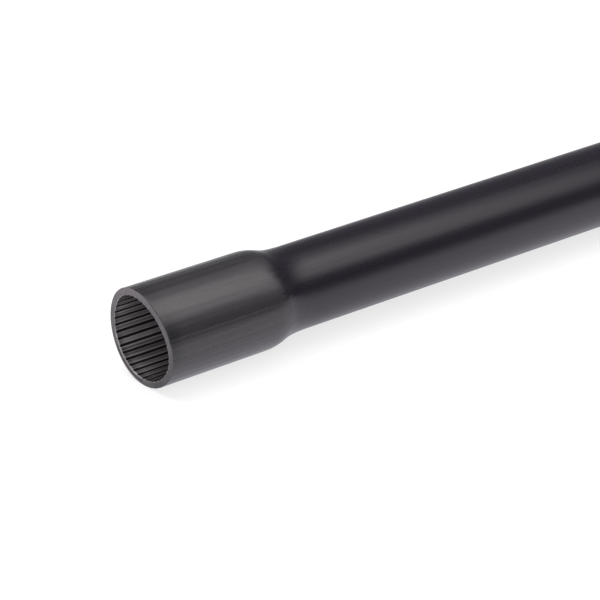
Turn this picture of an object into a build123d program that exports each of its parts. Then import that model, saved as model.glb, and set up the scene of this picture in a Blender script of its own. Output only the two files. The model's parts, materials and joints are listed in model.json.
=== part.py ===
from build123d import *

import os
from math import asin, degrees

# One stick of rigid plastic conduit: a pipe with a socket belled on one end, in millimetres.
# The stick lies along +X and +Z is up. The origin is on its axis, in the plane of the socket's mouth.

# Pipe
pipe_diameter = 20.0
pipe_wall = 2.0  # outside to the lands between the grooves
overall_length = 2000.0

# Socket, which takes the plain end of the next stick
socket_clearance = 0.2  # on the diameter, round the pipe that is pushed in
socket_wall = 1.75  # half-way in, outside to the lands
socket_depth = 30.0  # mouth to the start of the shoulder
bell_taper = 0.14  # on the outside diameter, which is greatest at the mouth

# Shoulder, where the bell draws in to the pipe
shoulder_length = 13.0
bell_fullness = 0.45  # pull of the curve along the bell, as a share of the shoulder
pipe_fullness = 0.70  # and along the pipe

# Grooves all the way through, so that cable slides on the lands between them
groove_count = 38
groove_width = 0.4  # in the pipe's bore; the bell is stretched, and its grooves are wider
groove_depth = 0.35

# Edges
mouth_chamfer = 0.3  # scraped round the inside of the mouth
edge_break = 0.15  # every other cut edge

pipe_radius = pipe_diameter / 2
bore_radius = pipe_radius - pipe_wall
socket_radius = pipe_radius + socket_clearance / 2
bell_radius = socket_radius + socket_wall - bell_taper / 4
rim_radius = bell_radius + bell_taper / 2
shoulder_end = socket_depth + shoulder_length
groove_pitch = 360 / groove_count
groove_angle = degrees(2 * asin(groove_width / 2 / bore_radius))


def shoulder_curve(bell_side, pipe_side):
    """S-curve between two radii, in line with the axis at both ends."""
    leaves_bell = socket_depth + bell_fullness * shoulder_length
    meets_pipe = shoulder_end - pipe_fullness * shoulder_length
    return Bezier(
        (socket_depth, bell_side),
        (leaves_bell, bell_side),
        (meets_pipe, pipe_side),
        (shoulder_end, pipe_side),
    )


def wall_section():
    """Half section of the stick without its grooves, in the plane of X and radius."""
    outside = shoulder_curve(bell_radius, pipe_radius)
    inside = shoulder_curve(socket_radius, bore_radius)
    plain_end = Polyline(
        outside @ 1,
        (overall_length - edge_break, pipe_radius),
        (overall_length, pipe_radius - edge_break),
        (overall_length, bore_radius + edge_break),
        (overall_length - edge_break, bore_radius),
        inside @ 1,
    )
    mouth = Polyline(
        inside @ 0,
        (mouth_chamfer, socket_radius),
        (0, socket_radius + mouth_chamfer),
        (0, rim_radius - edge_break),
        (edge_break, rim_radius),
        outside @ 0,
    )
    return make_face([*outside.edges(), *plain_end.edges(), *inside.edges(), *mouth.edges()])


def groove_section():
    """Lengthwise section of one groove's cutter, which stands as far out of the wall as it goes in."""
    floor = shoulder_curve(socket_radius + groove_depth, bore_radius + groove_depth)
    above = shoulder_curve(socket_radius - groove_depth, bore_radius - groove_depth)
    before_mouth = Polyline(
        above @ 0,
        (-groove_depth, socket_radius - groove_depth),
        (-groove_depth, socket_radius + groove_depth),
        floor @ 0,
    )
    past_end = Polyline(
        floor @ 1,
        (overall_length + groove_depth, bore_radius + groove_depth),
        (overall_length + groove_depth, bore_radius - groove_depth),
        above @ 1,
    )
    return make_face([*above.edges(), *before_mouth.edges(), *floor.edges(), *past_end.edges()])


def grooves():
    """Cutters of equal angle round the axis, the first straight down."""
    cutter = revolve(groove_section(), Axis.X, groove_angle)
    straight_down = -90 - groove_angle / 2
    return [Rot(X=straight_down + turn * groove_pitch) * cutter for turn in range(groove_count)]


def conduit():
    """The whole stick, belled and grooved."""
    return revolve(wall_section(), Axis.X) - grooves()


os.makedirs("parts", exist_ok=True)
export_step(conduit(), "parts/conduit.step")
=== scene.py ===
import json
import math

import bmesh
import bpy
from mathutils import Matrix, Quaternion, Vector, noise


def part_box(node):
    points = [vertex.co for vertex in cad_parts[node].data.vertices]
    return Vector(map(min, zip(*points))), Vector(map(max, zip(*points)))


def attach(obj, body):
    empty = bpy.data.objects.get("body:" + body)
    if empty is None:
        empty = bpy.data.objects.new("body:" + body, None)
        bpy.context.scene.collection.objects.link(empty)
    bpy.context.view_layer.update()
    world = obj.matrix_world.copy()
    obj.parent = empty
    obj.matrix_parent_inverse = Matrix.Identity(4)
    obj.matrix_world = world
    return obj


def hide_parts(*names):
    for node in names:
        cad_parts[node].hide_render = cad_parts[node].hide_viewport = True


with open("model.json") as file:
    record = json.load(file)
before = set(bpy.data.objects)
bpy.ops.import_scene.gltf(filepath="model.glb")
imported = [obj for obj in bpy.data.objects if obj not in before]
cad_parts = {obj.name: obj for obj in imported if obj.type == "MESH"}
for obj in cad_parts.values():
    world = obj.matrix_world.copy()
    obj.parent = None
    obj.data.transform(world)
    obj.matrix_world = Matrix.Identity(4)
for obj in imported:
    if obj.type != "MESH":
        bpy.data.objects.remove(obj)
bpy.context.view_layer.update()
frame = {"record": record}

mm = 0.001

# sizes that the frame already holds, in metres
mounts = {mount["name"]: mount["dims"] for mount in frame["record"]["mounts"]}
pipeRadius = mounts["plain_end"]["r_mm"] * mm
boreRadius = mounts["cable_bore"]["r_mm"] * mm
socketRadius = mounts["socket"]["r_mm"] * mm
straightPipe = mounts["plain_end"]["length_mm"] * mm
straightSocket = mounts["socket"]["length_mm"] * mm
stickLength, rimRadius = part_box("conduit")[1][:2]

# the wall of the stick and what runs along it; a fade is where a change begins and where it is over
stick = {
    "grooves": 38,
    "grooveWidth": 0.4 * mm,  # at the pipe's bore
    "grooveDepth": 0.35 * mm,
    "floorRound": 0.06 * mm,  # at the foot of a groove's wall, on the pipe's bore
    "landRound": 0.11 * mm,  # the lands' worn edges there
    "landWear": [(0.0, 0.82), (0.02, 0.30), (0.30, 0.10), (1.0, 0.0)],  # shares of it and of the depth
    "landSteps": 4,
    "edgeBreak": 0.15 * mm,
    "rimChamfer": 0.3 * mm,  # between the mouth and the socket's wall
    "taper": 0.07 * mm,  # what the bell's outside radius loses from mouth to shoulder
    "bellFullness": 0.45,
    "pipeFullness": 0.70,
    "shoulderSteps": 18,
    "bellSteps": 11,
    "outsideStep": 100 * mm,
    "boreStep": 200 * mm,
    "printThrough": 0.018 * mm,  # how deep the grooves show on the stretched bell
    "printFade": (20 * mm, 30 * mm),  # where the shoulder's former has smoothed that
    "bellWave": 0.03 * mm,  # unevenness of the hand-formed bell
    "waveAlong": 12.0,  # how often it comes in a metre
    "waveRound": 1.3,
    "waveSeed": 4.7,
    "shadingWeight": 60,  # over 50, the larger faces round a point count for more
}

# the mouth's cut end, as the saw and the scraper left it; angles are degrees from +Y to +Z, and
# the four of a span are where it begins, where it is full, where it starts to fade and where it ends
mouth = {
    "lean": 3.0,  # off square
    "leanTowards": -120.0,  # the side where the cut goes deepest
    "wave": 0.26 * mm,
    "waveCrest": 17.6,
    "oval": 0.14 * mm,  # the inner edge is a little out of round
    "ovalCrest": 40.0,
    "ovalInset": 0.15,  # how much of that the whole edge stands in
    "ovalDepth": 3 * mm,
    "ovalMargin": 1.5 * mm,  # from its end to the socket's own rings
    "thicker": 0.10 * mm,  # the wall, on the side that follows
    "thickerAngle": 70.0,
    "scrape": {"width": 0.22 * mm, "slope": 0.2, "deepWidth": 0.37 * mm, "deepSlope": 0.55},
    "scrapeSpan": (262.0, 278.0, 335.0, 372.0),
    "bevel": {"width": 0.10 * mm, "slope": 0.5, "deepWidth": 1.55 * mm, "deepSlope": 0.3},
    "bevelSpan": (258.0, 271.0, 325.0, 362.0),
    "bevelShows": 0.03,  # the least share that is seen
    "paring": {"width": 0.0, "slope": 0.5, "deepWidth": 0.06 * mm, "deepSlope": 0.5},
    "paringSpan": (76.0, 146.0, 160.0, 170.0),  # a knife has taken the outer edge off here
    "paringShows": 0.05,
    "edgeWidth": 0.1 * mm,
    "evenFrom": 0.4 * mm,  # this far behind the cut, the outside's rings are square to the axis
    "burrGap": 0.12 * mm,  # what the burr leaves of the grooves at the rim
    "burrLength": 0.5 * mm,
    "burrSteps": [1.9 * mm, 1.1 * mm, 0.6 * mm, 0.32 * mm, 0.14 * mm, 0.0],
    "notchMargin": 0.03 * mm,
    "faceRows": 8,
    "sawRidge": 0.012 * mm,
    "sawStretch": (0.8, 2.2, 0.2),  # its ridges run up and down the face
    "sawSeed": 3.1,
}

# the faces' kinds, in the order of their materials
outsideKind, boreKind, cutKind, scrapedKind, bevelKind = range(5)


def smoothstep(low, high, value):
    t = min(max((value - low) / (high - low), 0.0), 1.0)
    return t * t * (3 - 2 * t)


def between(low, high, count):
    return [low + (high - low) * step / count for step in range(count + 1)]


# round positions of one groove and its land: angle in degrees from the groove's middle,
# and how far down the groove's wall, from 0 on the land to 1 on the floor
def grooveOutline():
    pitch = 360 / stick["grooves"]
    half = math.degrees(math.asin(stick["grooveWidth"] / 2 / boreRadius))
    land = math.degrees(stick["landRound"] / boreRadius)
    floor = math.degrees(stick["floorRound"] / boreRadius)
    rightSide = [(half - floor, 1.0)]
    rightSide += [(half + share * land, depth) for share, depth in stick["landWear"]]
    leftSide = [(-angle, depth) for angle, depth in reversed(rightSide)]
    landFrom, landTo = half + land, pitch - half - land
    lands = [(angle, 0.0) for angle in between(landFrom, landTo, stick["landSteps"])[1:-1]]
    return leftSide + [(0.0, 1.0)] + rightSide + lands


def roundPositions():
    pitch = 360 / stick["grooves"]
    inner, depths = [], []
    for turn in range(stick["grooves"]):
        for angle, depth in grooveOutline():
            inner.append(math.radians(-90 + turn * pitch + angle))
            depths.append(depth)
    first, count = inner[0], len(inner)
    outer = [first + 2 * math.pi * step / count for step in range(count)]
    return inner, outer, depths


# one place of the shoulder's curve: distance along it and share of the way from bell to pipe
def shoulderPoint(t):
    away = 3 * (1 - t) ** 2 * t * stick["bellFullness"]
    home = 3 * (1 - t) * t ** 2 * (1 - stick["pipeFullness"])
    return away + home + t ** 3, t * t * (3 - 2 * t)


def shoulderStations(start, length):
    points = [shoulderPoint(t) for t in between(0.0, 1.0, stick["shoulderSteps"])]
    return [(start + along * length, share) for along, share in points]


def taperAt(x, socketEnd):
    return stick["taper"] * min(x / socketEnd, 1.0)


# how far the bell's skin lies under its true surface, given the share of the way to the pipe
def skinDepth(x, angle, share=0.0):
    printed = 0.5 + 0.5 * math.cos((angle + math.pi / 2) * stick["grooves"])
    printed *= 1 - smoothstep(*stick["printFade"], x)
    across, up = math.cos(angle) * stick["waveRound"], math.sin(angle) * stick["waveRound"]
    wave = noise.noise(Vector((x * stick["waveAlong"], across, up + stick["waveSeed"])))
    sunk = stick["printThrough"] * printed + stick["bellWave"] * (0.5 - 0.5 * wave)
    return sunk * (1 - share)


# how far the cut's plane lies behind its own middle
def cutPlace(angle, radius):
    lean = math.tan(math.radians(mouth["lean"])) * radius
    leaning = lean * math.cos(angle - math.radians(mouth["leanTowards"]))
    waving = mouth["wave"] * math.cos(2 * (angle - math.radians(mouth["waveCrest"])))
    return leaning + waving


# how far a span has come at an angle, from 0 outside it to 1 where it is full
def spanShare(span, angle):
    rises, full, fades, ends = span
    a = rises + (math.degrees(angle) - rises) % 360
    return smoothstep(rises, full, a) * (1 - smoothstep(fades, ends, a))


# width of what a blade has taken off an edge, and how far it goes back from the face
def edgeAt(edge, span, angle):
    share = spanShare(span, angle)
    width = edge["width"] + (edge["deepWidth"] - edge["width"]) * share
    slope = edge["slope"] + (edge["deepSlope"] - edge["slope"]) * share
    return width, width * slope


def scrapeAt(angle):
    return edgeAt(mouth["scrape"], mouth["scrapeSpan"], angle)


# the outer edge's bevel and paring, which lie at different places
def bevelAt(angle):
    bevel, bevelBack = edgeAt(mouth["bevel"], mouth["bevelSpan"], angle)
    pared, paredBack = edgeAt(mouth["paring"], mouth["paringSpan"], angle)
    return bevel + pared, bevelBack + paredBack


def ovalAt(angle):
    wider = math.cos(2 * (angle - math.radians(mouth["ovalCrest"]))) - mouth["ovalInset"]
    thicker = math.cos(angle - math.radians(mouth["thickerAngle"]))
    return mouth["oval"] * wider - mouth["thicker"] * thicker


# the cut is moved back until nothing of it passes X = 0
def foremost(angle):
    return cutPlace(angle, rimRadius) - max(scrapeAt(angle)[1], bevelAt(angle)[1])


mouthCentre = mouth["sawRidge"] - min(foremost(math.radians(degrees)) for degrees in range(360))


def cutAt(angle, radius):
    return max(mouthCentre + cutPlace(angle, radius), 0.0)


def ring(places, radii, angles):
    return [
        (x, radius * math.cos(angle), radius * math.sin(angle))
        for x, radius, angle in zip(places, radii, angles)
    ]


# rings of points along the outside from the mouth to the plain end
def outsideRings(outer, socketEnd, shoulderEnd):
    edge = stick["edgeBreak"]
    count = len(outer)
    mouthEdge = [cutAt(angle, rimRadius) for angle in outer]
    rings = []
    for behind in (0.0, mouth["edgeWidth"]):
        places = [x + behind for x in mouthEdge]
        radii = [rimRadius - skinDepth(x, angle) for x, angle in zip(places, outer)]
        rings.append(ring(places, radii, outer))
    start = max(mouthEdge) + mouth["evenFrom"]
    stations = [(x, 0.0) for x in between(start, socketEnd, stick["bellSteps"])[:-1]]
    stations += shoulderStations(socketEnd, shoulderEnd - socketEnd)
    lastStraight = stickLength - edge
    steps = round((lastStraight - shoulderEnd) / stick["outsideStep"])
    stations += [(x, 1.0) for x in between(shoulderEnd, lastStraight, steps)[1:]]
    for x, share in stations:
        bell = rimRadius - taperAt(x, socketEnd)
        radius = bell + share * (pipeRadius - bell)
        radii = [radius - skinDepth(x, angle, share) for angle in outer]
        rings.append(ring([x] * count, radii, outer))
    rings.append(ring([stickLength] * count, [pipeRadius - edge] * count, outer))
    return rings


# rings across the plain end, from the outer edge to the bore
def plainEndRings(inner, outer, depths):
    edge = stick["edgeBreak"]
    rows = mouth["faceRows"]
    rings = []
    insides = [boreRadius + max(edge, depth * stick["grooveDepth"]) for depth in depths]
    for row in range(1, rows + 1):
        share = row / rows
        radii = [(pipeRadius - edge) * (1 - share) + inside * share for inside in insides]
        angles = [o * (1 - share) + i * share for i, o in zip(inner, outer)]
        rings.append(ring([stickLength] * len(inner), radii, angles))
    return rings


# the grooves' depth near the rim, where the scraper has pushed a burr into them
def burrDepth(inward):
    clear = smoothstep(0.0, mouth["burrLength"], inward)
    return mouth["burrGap"] + (stick["grooveDepth"] - mouth["burrGap"]) * clear


# rings along the inside, back from the plain end to the mouth
def insideRings(inner, depths, socketEnd, shoulderEnd):
    lastStraight = stickLength - stick["edgeBreak"]
    steps = round((lastStraight - shoulderEnd) / stick["boreStep"])
    straight = between(mouth["ovalDepth"] + mouth["ovalMargin"], socketEnd, stick["bellSteps"])
    stations = [(x, 0.0) for x in straight[:-1]]
    stations += shoulderStations(socketEnd, shoulderEnd - socketEnd)
    stations += [(x, 1.0) for x in between(shoulderEnd, lastStraight, steps)[1:]]
    rings = []
    for x, share in reversed(stations):
        land = socketRadius + share * (boreRadius - socketRadius)
        radii = [land + depth * stick["grooveDepth"] for depth in depths]
        rings.append(ring([x] * len(inner), radii, inner))
    for inward in mouth["burrSteps"]:
        places, radii = [], []
        rounded = smoothstep(0.0, mouth["ovalDepth"], inward)
        for angle, depth in zip(inner, depths):
            places.append(cutAt(angle, socketRadius) + inward)
            radii.append(socketRadius + ovalAt(angle) * (1 - rounded) + depth * burrDepth(inward))
        rings.append(ring(places, radii, inner))
    return rings


# rings across the mouth's cut face, from the scraped inner edge to the outer bevel
def mouthRings(inner, outer, depths):
    rows = mouth["faceRows"]
    across, along, level = mouth["sawStretch"]
    rings = []
    for row in range(rows + 1):
        share = row / rows
        places, radii, angles = [], [], []
        for innerAngle, outerAngle, depth in zip(inner, outer, depths):
            angle = innerAngle * (1 - share) + outerAngle * share
            scrape, scrapeBack = scrapeAt(angle)
            bevel, bevelBack = bevelAt(angle)
            notch = depth * mouth["burrGap"] + mouth["notchMargin"]
            low = socketRadius + ovalAt(angle) + max(scrape, notch)
            radius = low * (1 - share) + (rimRadius - bevel) * share
            y, z = radius * math.cos(angle) / mm, radius * math.sin(angle) / mm
            ridge = noise.noise(Vector((y * across + z * along, z * level, mouth["sawSeed"])))
            forward = scrapeBack * (1 - share) + bevelBack * share
            places.append(cutAt(angle, radius) - forward + ridge * mouth["sawRidge"])
            radii.append(radius)
            angles.append(angle)
        rings.append(ring(places, radii, angles))
    return rings


# pared, the outer edge shines as the outside does, and bevelled it is dark with painted shade
def edgeKind(angle):
    if spanShare(mouth["paringSpan"], angle) > mouth["paringShows"]:
        return outsideKind
    return bevelKind if spanShare(mouth["bevelSpan"], angle) > mouth["bevelShows"] else cutKind


def buildStick():
    shoulderEnd = stickLength - stick["edgeBreak"] - straightPipe
    socketEnd = stick["rimChamfer"] + straightSocket
    inner, outer, depths = roundPositions()
    count = len(inner)
    outside = outsideRings(outer, socketEnd, shoulderEnd)
    plainEnd = plainEndRings(inner, outer, depths)
    inside = insideRings(inner, depths, socketEnd, shoulderEnd)
    rings = outside + plainEnd + inside + mouthRings(inner, outer, depths)
    points = [point for each in rings for point in each]
    insideStart = len(outside) + len(plainEnd)
    cutStart = insideStart + len(inside) - 1
    faces, kinds = [], []
    for row in range(len(rings)):
        after = (row + 1) % len(rings)
        if row < len(outside) - 1:
            kind = outsideKind
        elif insideStart <= row < cutStart:
            kind = boreKind
        elif row == cutStart:
            kind = scrapedKind
        else:
            kind = cutKind
        for place in range(count):
            beside = (place + 1) % count
            faces.append((
                row * count + place,
                row * count + beside,
                after * count + beside,
                after * count + place,
            ))
            kinds.append(edgeKind(outer[place]) if after == 0 else kind)
    mesh = bpy.data.meshes.new("conduitStick")
    mesh.from_pydata(points, [], faces)
    for polygon, kind in zip(mesh.polygons, kinds):
        polygon.material_index = kind
        polygon.use_smooth = True
    outward = bmesh.new()
    outward.from_mesh(mesh)
    bmesh.ops.recalc_face_normals(outward, faces=outward.faces)
    outward.to_mesh(mesh)
    outward.free()
    piece = bpy.data.objects.new("conduitStick", mesh)
    bpy.context.scene.collection.objects.link(piece)
    weighted = piece.modifiers.new("evenShading", "WEIGHTED_NORMAL")
    weighted.mode = "FACE_AREA"
    weighted.weight = stick["shadingWeight"]
    print("stick:", len(points), "points,", len(faces), "faces")
    return piece


# a socket that can stand in sums
class Value:
    def __init__(self, maker, socket):
        self.maker, self.socket = maker, socket

    def maths(self, operation, first, second):
        return self.maker.add("ShaderNodeMath", {"operation": operation}, {0: first, 1: second})

    def __add__(self, other):
        return self.maths("ADD", self, other)

    def __radd__(self, other):
        return self.maths("ADD", other, self)

    def __sub__(self, other):
        return self.maths("SUBTRACT", self, other)

    def __rsub__(self, other):
        return self.maths("SUBTRACT", other, self)

    def __mul__(self, other):
        return self.maths("MULTIPLY", self, other)

    def __rmul__(self, other):
        return self.maths("MULTIPLY", other, self)


def opaque(colour):
    return colour if isinstance(colour, Value) else (*colour, 1.0)


class NodeMaker:
    def __init__(self, tree):
        self.tree = tree
        tree.nodes.clear()

    # settings go in first, then the sockets' values or links
    def add(self, kind, settings=None, sockets=None, out=0):
        node = self.tree.nodes.new(kind)
        for name, setting in (settings or {}).items():
            setattr(node, name, setting)
        for key, value in (sockets or {}).items():
            if isinstance(value, Value):
                self.tree.links.new(value.socket, node.inputs[key])
            else:
                node.inputs[key].default_value = value
        return Value(self, node.outputs[out]) if node.outputs else None

    # how far a place lies along each of the named axes
    def along(self, where, axes):
        return [self.add("ShaderNodeSeparateXYZ", None, {0: where}, out=axis) for axis in axes]

    def step(self, low, high, value):
        return self.add(
            "ShaderNodeMapRange",
            {"interpolation_type": "SMOOTHSTEP"},
            {"Value": value, "From Min": low, "From Max": high},
        )

    # noise about 0, with how often it comes in a metre along each axis
    def pattern(self, where, often, detail=2.0, shift=(0.0, 0.0, 0.0)):
        sockets = {0: where, 1: often, 2: shift}
        place = self.add("ShaderNodeVectorMath", {"operation": "MULTIPLY_ADD"}, sockets)
        sockets = {"Vector": place, "Scale": 1.0, "Detail": detail, "Roughness": 0.5}
        return self.add("ShaderNodeTexNoise", None, sockets) - 0.5

    def mixColour(self, share, low, high):
        sockets = {0: share, 6: opaque(low), 7: opaque(high)}
        return self.add("ShaderNodeMix", {"data_type": "RGBA"}, sockets, out=2)

    def shaded(self, colour, shade):
        return self.add("ShaderNodeVectorMath", {"operation": "SCALE"}, {0: colour, "Scale": shade})

    # a height in metres as a normal
    def bumped(self, height):
        return self.add("ShaderNodeBump", None, {"Strength": 1.0, "Distance": 1.0, "Height": height})


# a material with its node maker, and the place on the piece
def newMaterial(name):
    material = bpy.data.materials.new(name)
    material.use_nodes = True
    maker = NodeMaker(material.node_tree)
    return material, maker, maker.add("ShaderNodeTexCoord", out="Object")


def finishMaterial(maker, sockets):
    surface = maker.add("ShaderNodeBsdfPrincipled", None, sockets)
    maker.add("ShaderNodeOutputMaterial", None, {"Surface": surface})


# 1 in the middle of a groove and -1 in the middle of a land
def overGrooves(maker, y, z):
    angle = maker.add("ShaderNodeMath", {"operation": "ARCTAN2"}, {0: z, 1: y})
    turns = (angle + math.pi / 2) * stick["grooves"]
    return maker.add("ShaderNodeMath", {"operation": "COSINE"}, {0: turns})


# how far out a place lies towards an angle, as a share of the rim's radius
def outTowards(y, z, angle):
    turn = math.radians(angle)
    return y * (math.cos(turn) / rimRadius) + z * (math.sin(turn) / rimRadius)


# from a low share where the mask is 0 to the whole where it is 1
def risen(low, mask):
    return low + mask * (1 - low)


plasticIor = 1.54

outsideLook = {
    "pipeColour": (0.0085, 0.0062, 0.0120),
    "bellColour": (0.0275, 0.0252, 0.0290),
    "pipeRoughness": 0.28,
    "bellRoughness": 0.30,
    "bellFilm": 0.18,  # the skin of the bell, pressed on a former, shines more widely
    "filmRoughness": 0.34,
    "bellFade": (32.4 * mm, 34.4 * mm),  # the bell's looks go over to the pipe's on the shoulder
    "reliefFade": (26.5 * mm, 31.5 * mm),  # the draw over the shoulder has smoothed the lines
    "rimFade": (1.0 * mm, 4.5 * mm),  # right behind the cut the bell has less film and is darker
    "rimEven": 0.35,  # the share of that all round; the rest is on one side
    "rimAngle": 162.0,
    "rimSide": (0.80, 0.97),
    "rimFilm": 1.0,
    "rimShade": 0.40,
    "shift": (0.0, 21.4, 13.7),  # which streaks the stick happens to have
    "fineLines": (6.0, 1800.0, 1800.0),  # the die's, and how often they come in a metre
    "broadLines": (3.0, 420.0, 420.0),
    "clouds": (60.0, 160.0, 160.0),
    "mottles": (1200.0, 1900.0, 1900.0),
    "grain": (3500.0, 6000.0, 6000.0),
    "fineColour": 0.5,  # the fine lines' share of the streaks
    "streakColour": 1.2,
    "streakRoughness": 0.30,
    "streakFilm": 1.2,
    "pipeStreaks": 0.3,  # the pipe's share of the bell's
    "cloudRoughness": 0.12,
    "mottle": 0.5,
    "grooveShade": 0.10,
    "grainHeight": 0.010 * mm,
    "streakHeight": 0.12 * mm,
    "fineHeight": 0.45,  # the fine lines' share of that
    "pipeLines": 0.12,  # the pipe's share of the bell's
    "pipeGrain": 0.10,
}


def outsideMaterial():
    look = outsideLook
    material, maker, where = newMaterial("blackPlasticOutside")
    x, y, z = maker.along(where, "XYZ")
    bell = 1 - maker.step(*look["bellFade"], x)
    relief = 1 - maker.step(*look["reliefFade"], x)
    darkSide = maker.step(*look["rimSide"], outTowards(y, z, look["rimAngle"]))
    rim = 1 - maker.step(*look["rimFade"], x - mouthCentre)
    rim = rim * risen(look["rimEven"], darkSide)
    fineLines = maker.pattern(where, look["fineLines"], shift=look["shift"])
    broadLines = maker.pattern(where, look["broadLines"], shift=look["shift"])
    clouds = maker.pattern(where, look["clouds"], detail=3.0)
    mottle = look["mottle"] * maker.pattern(where, look["mottles"])
    grain = maker.pattern(where, look["grain"])
    printed = (0.5 + 0.5 * overGrooves(maker, y, z)) * bell
    streaks = look["fineColour"] * fineLines + broadLines
    shade = 1 + streaks * look["streakColour"] * risen(look["pipeStreaks"], bell)
    shade = shade - printed * look["grooveShade"] + mottle * bell - rim * look["rimShade"]
    colour = maker.mixColour(bell, look["pipeColour"], look["bellColour"])
    roughness = look["pipeRoughness"] + bell * (look["bellRoughness"] - look["pipeRoughness"])
    roughness = roughness + streaks * look["streakRoughness"] + clouds * bell * look["cloudRoughness"]
    film = bell * look["bellFilm"] * (1 + streaks * look["streakFilm"] + mottle)
    film = film * (1 - rim * look["rimFilm"])
    height = (look["fineHeight"] * fineLines + broadLines) * look["streakHeight"]
    height = height * risen(look["pipeLines"], relief)
    height = height + grain * look["grainHeight"] * risen(look["pipeGrain"], relief)
    finishMaterial(maker, {
        "Base Color": maker.shaded(colour, shade),
        "Roughness": roughness,
        "Normal": maker.bumped(height),
        "IOR": plasticIor,
        "Coat Weight": film,
        "Coat Roughness": look["filmRoughness"],
        "Coat IOR": plasticIor,
    })
    return material


boreLook = {
    # painted light: the lands' colour is raised above the plastic's to stand for light reaching into
    # the bore
    "landColour": (0.122, 0.114, 0.118),
    # painted shade: the grooves are coloured near black for the shade inside them
    "paintedGrooveShade": (0.005, 0.005, 0.006),
    "grooveFade": (0.27, 0.60),  # from mid-land at -1 to mid-groove at 1
    "edgeFade": (-0.8, -0.1),
    "paintedEdgeHighlight": 0.90,  # painted highlight: the lands' edges are paler
    "paintedMouthLight": 0.30,  # painted light: the lands near the mouth are paler
    "rimDepth": 6 * mm,
    "lipShade": 0.45,  # painted shade at the lands' ends, right at the rim
    "lipFade": (0.2 * mm, 1.7 * mm),
    "nearShade": 0.62,  # and the side that the light misses
    "nearAngle": 235.0,
    "nearSide": (0.5, 0.85),
    "lines": (8.0, 1500.0, 1500.0),  # how often they come in a metre
    "specks": (300.0, 900.0, 900.0),
    "lineGain": 3.0,
    "speckGain": 0.4,
    "roughness": 0.42,
    "lineRoughness": 0.2,
    "lineHeight": 0.010 * mm,
}


def boreMaterial():
    look = boreLook
    material, maker, where = newMaterial("blackPlasticBore")
    x, y, z = maker.along(where, "XYZ")
    lines = maker.pattern(where, look["lines"], detail=3.0)
    specks = maker.pattern(where, look["specks"])
    around = overGrooves(maker, y, z)
    inGroove = maker.step(*look["grooveFade"], around)
    landEdge = maker.step(*look["edgeFade"], around) * (1 - inGroove)
    behind = x - mouthCentre
    rim = 1 - maker.step(0.0, look["rimDepth"], behind)
    lean = math.tan(math.radians(mouth["lean"])) * rimRadius
    lip = 1 - maker.step(*look["lipFade"], behind - outTowards(y, z, mouth["leanTowards"]) * lean)
    near = maker.step(*look["nearSide"], outTowards(y, z, look["nearAngle"]))
    # painted highlight on the lands' edges, painted light near the mouth, painted shade at the lip and
    # on the side the light misses
    shade = 1 + lines * look["lineGain"] + specks * look["speckGain"]
    shade = shade * (1 + landEdge * look["paintedEdgeHighlight"]) * (1 + rim * look["paintedMouthLight"])
    shade = shade * (1 - lip * look["lipShade"]) * (1 - near * look["nearShade"])
    colour = maker.mixColour(inGroove, look["landColour"], look["paintedGrooveShade"])
    finishMaterial(maker, {
        "Base Color": maker.shaded(colour, shade),
        "Roughness": look["roughness"] + lines * look["lineRoughness"],
        "Normal": maker.bumped(lines * look["lineHeight"]),
        "IOR": plasticIor,
    })
    return material


# brighter or darker stretches round the mouth, each a span with its gain
def patchShade(maker, y, z, patches):
    shade = 1.0
    for span, gain in patches:
        middle = math.radians((span[1] + span[2]) / 2)
        ahead = y * math.cos(middle) + z * math.sin(middle)
        aside = z * math.cos(middle) - y * math.sin(middle)
        angle = maker.add("ShaderNodeMath", {"operation": "ARCTAN2"}, {0: aside, 1: ahead})
        rises, full, fades, ends = (math.radians(degrees) - middle for degrees in span)
        shade = shade + maker.step(rises, full, angle) * (1 - maker.step(fades, ends, angle)) * gain
    return shade


# what the blades have left, each with two colours that its marks and its blotches mix:
# the sawn face, the bevel outside it, whose darker colours are painted shade, and the scraped edge
# inside it
cutLook = {
    "colour": (0.1025, 0.0935, 0.1015),
    "paleColour": (0.145, 0.133, 0.144),
    "paintedTopLight": 0.42,  # painted light: the face is paler towards the top
    "topAngle": 60.0,
    "patches": [
        ((226.0, 237.0, 243.0, 252.0), -0.16),
        ((248.0, 262.0, 268.0, 276.0), 0.34),
        ((328.0, 350.0, 376.0, 396.0), -0.10),
    ],
    "marks": (500.0, 700.0, 2600.0),  # how often they come in a metre
    "blotches": (300.0, 300.0, 300.0),
    "markShare": 0.6,  # of the two together
    "paleFade": (-0.15, 0.20),
    "roughness": 0.55,
    "markRoughness": 0.15,
    "markHeight": 0.012 * mm,
}

# painted shade: the bevel is a darker copy of the sawn face, on top of the shade its slope gets
shadedBevelLook = {
    **cutLook,
    "colour": (0.055, 0.052, 0.055),
    "paleColour": (0.070, 0.066, 0.070),
    "paintedTopLight": 0.34,
    "topAngle": 20.0,
    "patches": [],
    "roughness": 0.50,
    "markHeight": 0.006 * mm,
}

scrapedLook = {
    "colour": (0.150, 0.139, 0.146),
    "paleColour": (0.250, 0.235, 0.243),
    "paintedTopLight": 0.0,
    "topAngle": 0.0,
    "patches": [
        ((266.0, 282.0, 288.0, 298.0), 0.5),
        ((302.0, 328.0, 334.0, 352.0), 0.85),
        ((5.0, 60.0, 150.0, 215.0), 0.55),  # painted highlight on the thin scrape at the top
    ],
    "marks": (400.0, 1100.0, 1100.0),
    "blotches": (150.0, 150.0, 150.0),
    "markShare": 0.5,
    "paleFade": (-0.12, 0.12),
    "roughness": 0.48,
    "markRoughness": 0.2,
    "markHeight": 0.0,
}


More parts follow.
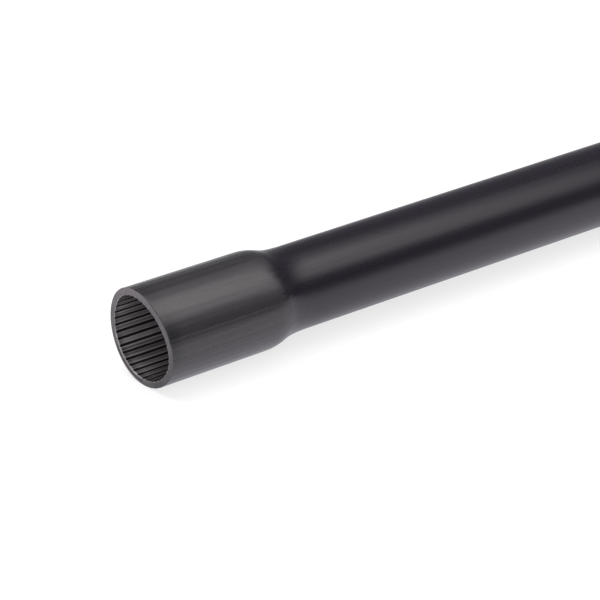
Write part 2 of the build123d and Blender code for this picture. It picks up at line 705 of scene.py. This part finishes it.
def bladeMaterial(name, look):
    material, maker, where = newMaterial(name)
    y, z = maker.along(where, "YZ")
    marks = maker.pattern(where, look["marks"], detail=3.0)
    blotches = maker.pattern(where, look["blotches"])
    mixed = marks * look["markShare"] + blotches * (1 - look["markShare"])
    pale = maker.step(*look["paleFade"], mixed)
    shade = patchShade(maker, y, z, look["patches"])
    # painted light: paler towards topAngle
    shade = shade + outTowards(y, z, look["topAngle"]) * look["paintedTopLight"]
    sockets = {
        "Base Color": maker.shaded(maker.mixColour(pale, look["colour"], look["paleColour"]), shade),
        "Roughness": look["roughness"] + marks * look["markRoughness"],
        "IOR": plasticIor,
    }
    if look["markHeight"]:
        sockets["Normal"] = maker.bumped(marks * look["markHeight"])
    finishMaterial(maker, sockets)
    return material


view = {
    "azimuth": -37.08,
    "elevation": 26.61,
    "aim": (44.38 * mm, 0.06 * mm, -3.98 * mm),  # from the middle of the mouth
    "distance": 631.1 * mm,
    "lens": 163.73,
    "sensor": 36.0,
    "nearest": 10 * mm,
    "farthest": 100.0,
}


def buildCamera():
    data = bpy.data.cameras.new("view")
    data.sensor_width = view["sensor"]
    data.lens = view["lens"]
    data.clip_start = view["nearest"]
    data.clip_end = view["farthest"]
    camera = bpy.data.objects.new("view", data)
    bpy.context.scene.collection.objects.link(camera)
    turn, rise = math.radians(view["azimuth"]), math.radians(view["elevation"])
    back = Vector((math.sin(turn) * math.cos(rise), -math.cos(turn) * math.cos(rise), math.sin(rise)))
    aim = Vector(view["aim"]) + Vector((mouthCentre, 0.0, 0.0))
    camera.location = aim + back * view["distance"]
    camera.rotation_euler = (-back).to_track_quat("-Z", "Y").to_euler()
    bpy.context.scene.camera = camera


studio = {
    "floorSize": 120.0,
    "floorGrey": 0.35,
    "floorGlow": 0.73,  # with the light on it, this makes it white
    "floorSheen": (0.70, 0.68, 0.75),  # as the stick's gloss shows it, a little cooler
    "farSheen": (0.22, 0.22, 0.24),  # and away from the stick, dimmer: a painted falloff of light that only the gloss sees
    "sheenFade": (50 * mm, 190 * mm),
    "above": (0.155, 0.156, 0.168),
    "behind": (0.35, 0.35, 0.36),  # a pale backdrop, low down
    "before": (0.12, 0.12, 0.13),  # the dark room on the camera's side
    "turnFade": (-0.5, 0.5),  # from the one to the other
    "riseFade": (0.05, 0.45),  # and from both to what is above
    "panelGap": 5 * mm,
}

# a softbox is a few panels behind one another, so that its light falls off towards its edges;
# each panel has its size across and along, and its radiance
lamps = {
    "overhead": {
        "place": (-0.10, 0.36, 1.0),
        "aim": (-0.10, 0.36, 0.0),
        "shape": "ELLIPSE",
        "turn": -50.4,
        "panels": [(1.20, 5.60, 0.24), (0.90, 4.00, 1.46), (0.44, 2.20, 1.90)],
        "colour": (1.04, 1.0, 1.0),
    },
    "mouthSide": {
        "place": (-1.30, -1.05, 0.85),
        "aim": (0.0, 0.0, 0.0),
        "shape": "RECTANGLE",
        "turn": 0.0,
        "panels": [(1.6, 1.6, 1.15)],
        "colour": (1.01, 1.0, 1.0),
    },
    "fill": {
        "place": (-0.90, -1.50, 0.60),
        "aim": (0.0, 0.0, 0.0),
        "shape": "RECTANGLE",
        "turn": 0.0,
        "panels": [(1.6, 1.6, 1.6)],
        "colour": (1.0, 1.0, 1.0),
    },
}


def buildFloor():
    half = studio["floorSize"] / 2
    mesh = bpy.data.meshes.new("floor")
    corners = [(-half, -half, 0.0), (half, -half, 0.0), (half, half, 0.0), (-half, half, 0.0)]
    mesh.from_pydata(corners, [], [(0, 1, 2, 3)])
    floor = bpy.data.objects.new("floor", mesh)
    bpy.context.scene.collection.objects.link(floor)
    floor.location = (0.0, 0.0, -rimRadius)
    material, maker, where = newMaterial("paleFloor")
    byCamera, byGloss, byGlass = (
        maker.add("ShaderNodeLightPath", out=name)
        for name in ("Is Camera Ray", "Is Glossy Ray", "Is Transmission Ray")
    )
    # painted light: the glow that reflections see is brighter near the stick
    across = maker.along(where, "Y")[0]
    aside = maker.add("ShaderNodeMath", {"operation": "ABSOLUTE"}, {0: across})
    away = maker.step(*studio["sheenFade"], aside)
    sheen = maker.mixColour(away, studio["floorSheen"], studio["farSheen"])
    seen = maker.mixColour(byCamera + byGlass, (0.0, 0.0, 0.0), (studio["floorGlow"],) * 3)
    finishMaterial(maker, {
        "Base Color": opaque((studio["floorGrey"],) * 3),
        "Roughness": 1.0,
        "Specular IOR Level": 0.0,
        "Emission Color": maker.mixColour(byGloss, seen, sheen),
        "Emission Strength": 1.0,
    })
    mesh.materials.append(material)


def buildLamps():
    for name, lamp in lamps.items():
        place, aim = Vector(lamp["place"]), Vector(lamp["aim"])
        back = (place - aim).normalized()
        across = Vector((1.0, 0.0, 0.0)).cross(back).normalized()
        across.rotate(Quaternion(back, math.radians(lamp["turn"])))
        turned = Matrix((across, back.cross(across), back)).transposed().to_euler()
        for number, (width, length, radiance) in enumerate(lamp["panels"]):
            data = bpy.data.lights.new(name + str(number), "AREA")
            data.shape = lamp["shape"]
            data.size, data.size_y = width, length
            data.color = lamp["colour"]
            area = width * length * (math.pi / 4 if data.shape == "ELLIPSE" else 1.0)
            data.energy = radiance * math.pi * area
            light = bpy.data.objects.new(name + str(number), data)
            bpy.context.scene.collection.objects.link(light)
            light.location = place + back * number * studio["panelGap"]
            light.rotation_euler = turned


def buildSky():
    world = bpy.data.worlds.new("studio")
    bpy.context.scene.world = world
    world.use_nodes = True
    maker = NodeMaker(world.node_tree)
    back, up = maker.along(maker.add("ShaderNodeTexCoord", out="Generated"), "YZ")
    around = maker.step(*studio["turnFade"], back)
    low = maker.mixColour(around, studio["before"], studio["behind"])
    colour = maker.mixColour(maker.step(*studio["riseFade"], up), low, studio["above"])
    background = maker.add("ShaderNodeBackground", None, {"Color": colour, "Strength": 1.0})
    maker.add("ShaderNodeOutputWorld", None, {"Surface": background})


buildCamera()
buildFloor()
buildLamps()
buildSky()
print("studio and camera are set")

conduitStick = buildStick()
for material in (
    outsideMaterial(),
    boreMaterial(),
    bladeMaterial("blackPlasticCut", cutLook),
    bladeMaterial("blackPlasticScraped", scrapedLook),
    bladeMaterial("blackPlasticBevelPaintedShade", shadedBevelLook),
):
    conduitStick.data.materials.append(material)
print("materials are on")
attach(conduitStick, "root")
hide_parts("conduit")

bpy.context.scene.view_settings.view_transform = "Standard"
